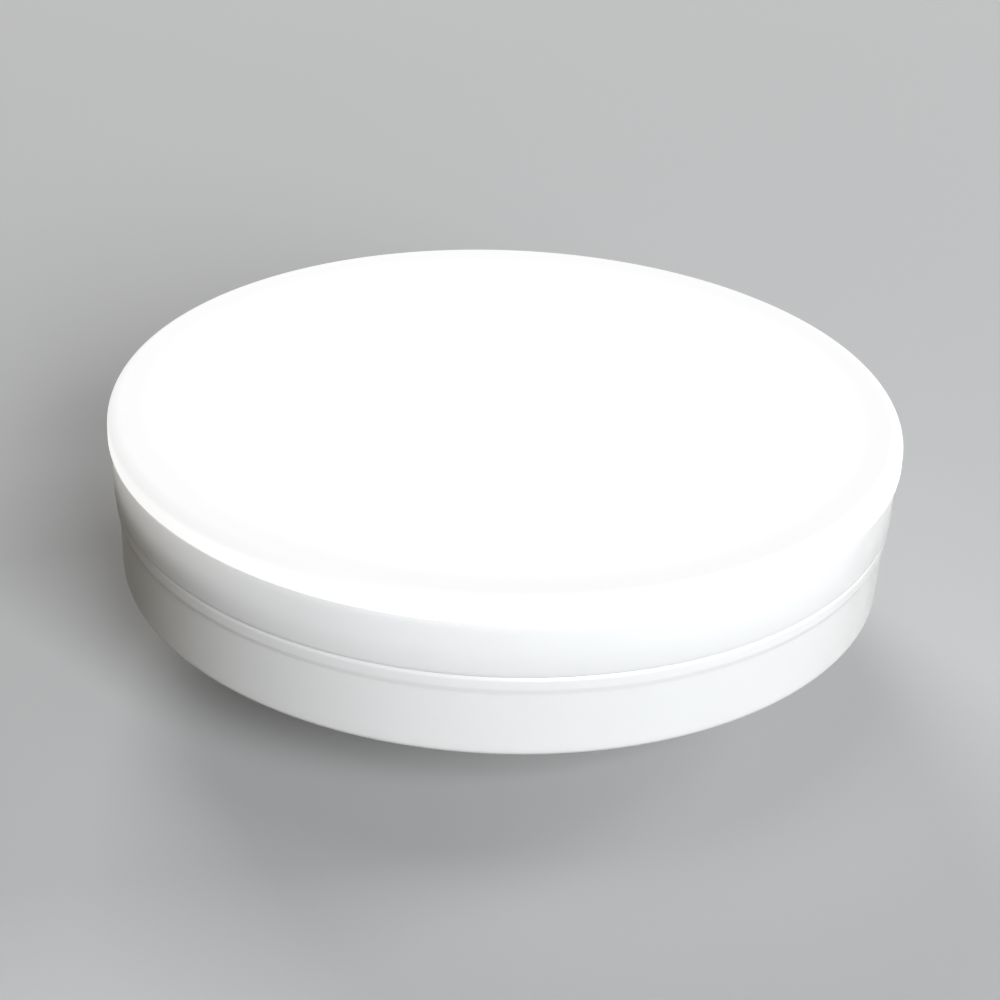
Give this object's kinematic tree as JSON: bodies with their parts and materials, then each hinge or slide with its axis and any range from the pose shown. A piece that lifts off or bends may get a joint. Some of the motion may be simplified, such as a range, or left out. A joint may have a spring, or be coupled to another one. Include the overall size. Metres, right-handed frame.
{
  "type": "led disc lamp",
  "caption": "Flat round LED lamp, lit, with a clipped-in opal face and a two-pin twist-lock cap round a central boss.",
  "frame": {"origin": "middle of the cap boss's end face, which is the lowest point of the lamp as it lies", "axes": "+Z along the lamp's axis, out of the lit face; X through the two contact pins"},
  "size_m": [0.075, 0.075, 0.0265],
  "materials": {
    "white_housing": "white moulded thermoplastic, fine satin",
    "opal_lid": "opal diffusing plastic, smooth satin, lit from inside",
    "plated_pin": "nickel-plated brass, turned",
    "aluminium_plate": "mill finish",
    "clear_film": "translucent polyester film",
    "white_solder_mask": "white solder mask on aluminium core",
    "led_package": "moulded package with phosphor window",
    "screw_steel": "zinc-plated",
    "green_circuit_board": "green solder mask on glass epoxy",
    "can_sleeve": "dark shrink sleeve on aluminium can",
    "red_epoxy": "dipped epoxy",
    "blue_epoxy": "dipped epoxy",
    "green_lacquer": "flameproof lacquer",
    "ferrite": "sintered ferrite",
    "copper_winding": "enamelled copper wire",
    "black_epoxy": "moulded epoxy",
    "resistor_ceramic": "glazed ceramic with tinned ends",
    "white_wire": "wire insulation",
    "red_wire": "wire insulation",
    "black_wire": "wire insulation"
  },
  "bodies": {
    "root": {"board_screws": "screw_steel", "bridge_rectifier": "black_epoxy", "bulk_capacitor": "can_sleeve", "contact_pin_left": "plated_pin", "contact_pin_right": "plated_pin", "diffuser": "opal_lid", "driver_board": "green_circuit_board", "driver_chip": "black_epoxy", "film_capacitor": "red_epoxy", "fuse_resistor": "green_lacquer", "heat_plate": "aluminium_plate", "housing": "white_housing", "inductor_core": "ferrite", "inductor_winding": "copper_winding", "input_lead_left": "white_wire", "input_lead_right": "white_wire", "insulating_sheet": "clear_film", "led_board": "white_solder_mask", "led_inner_01": "led_package", "led_inner_02": "led_package", "led_inner_03": "led_package", "led_inner_04": "led_package", "led_inner_05": "led_package", "led_inner_06": "led_package", "led_outer_01": "led_package", "led_outer_02": "led_package", "led_outer_03": "led_package", "led_outer_04": "led_package", "led_outer_05": "led_package", "led_outer_06": "led_package", "led_outer_07": "led_package", "led_outer_08": "led_package", "led_outer_09": "led_package", "led_outer_10": "led_package", "led_outer_11": "led_package", "led_outer_12": "led_package", "output_capacitor": "can_sleeve", "output_diode": "black_epoxy", "output_lead_minus": "black_wire", "output_lead_plus": "red_wire", "sense_resistor": "resistor_ceramic", "start_resistor": "resistor_ceramic", "varistor": "blue_epoxy"}
  },
  "joints": []
}
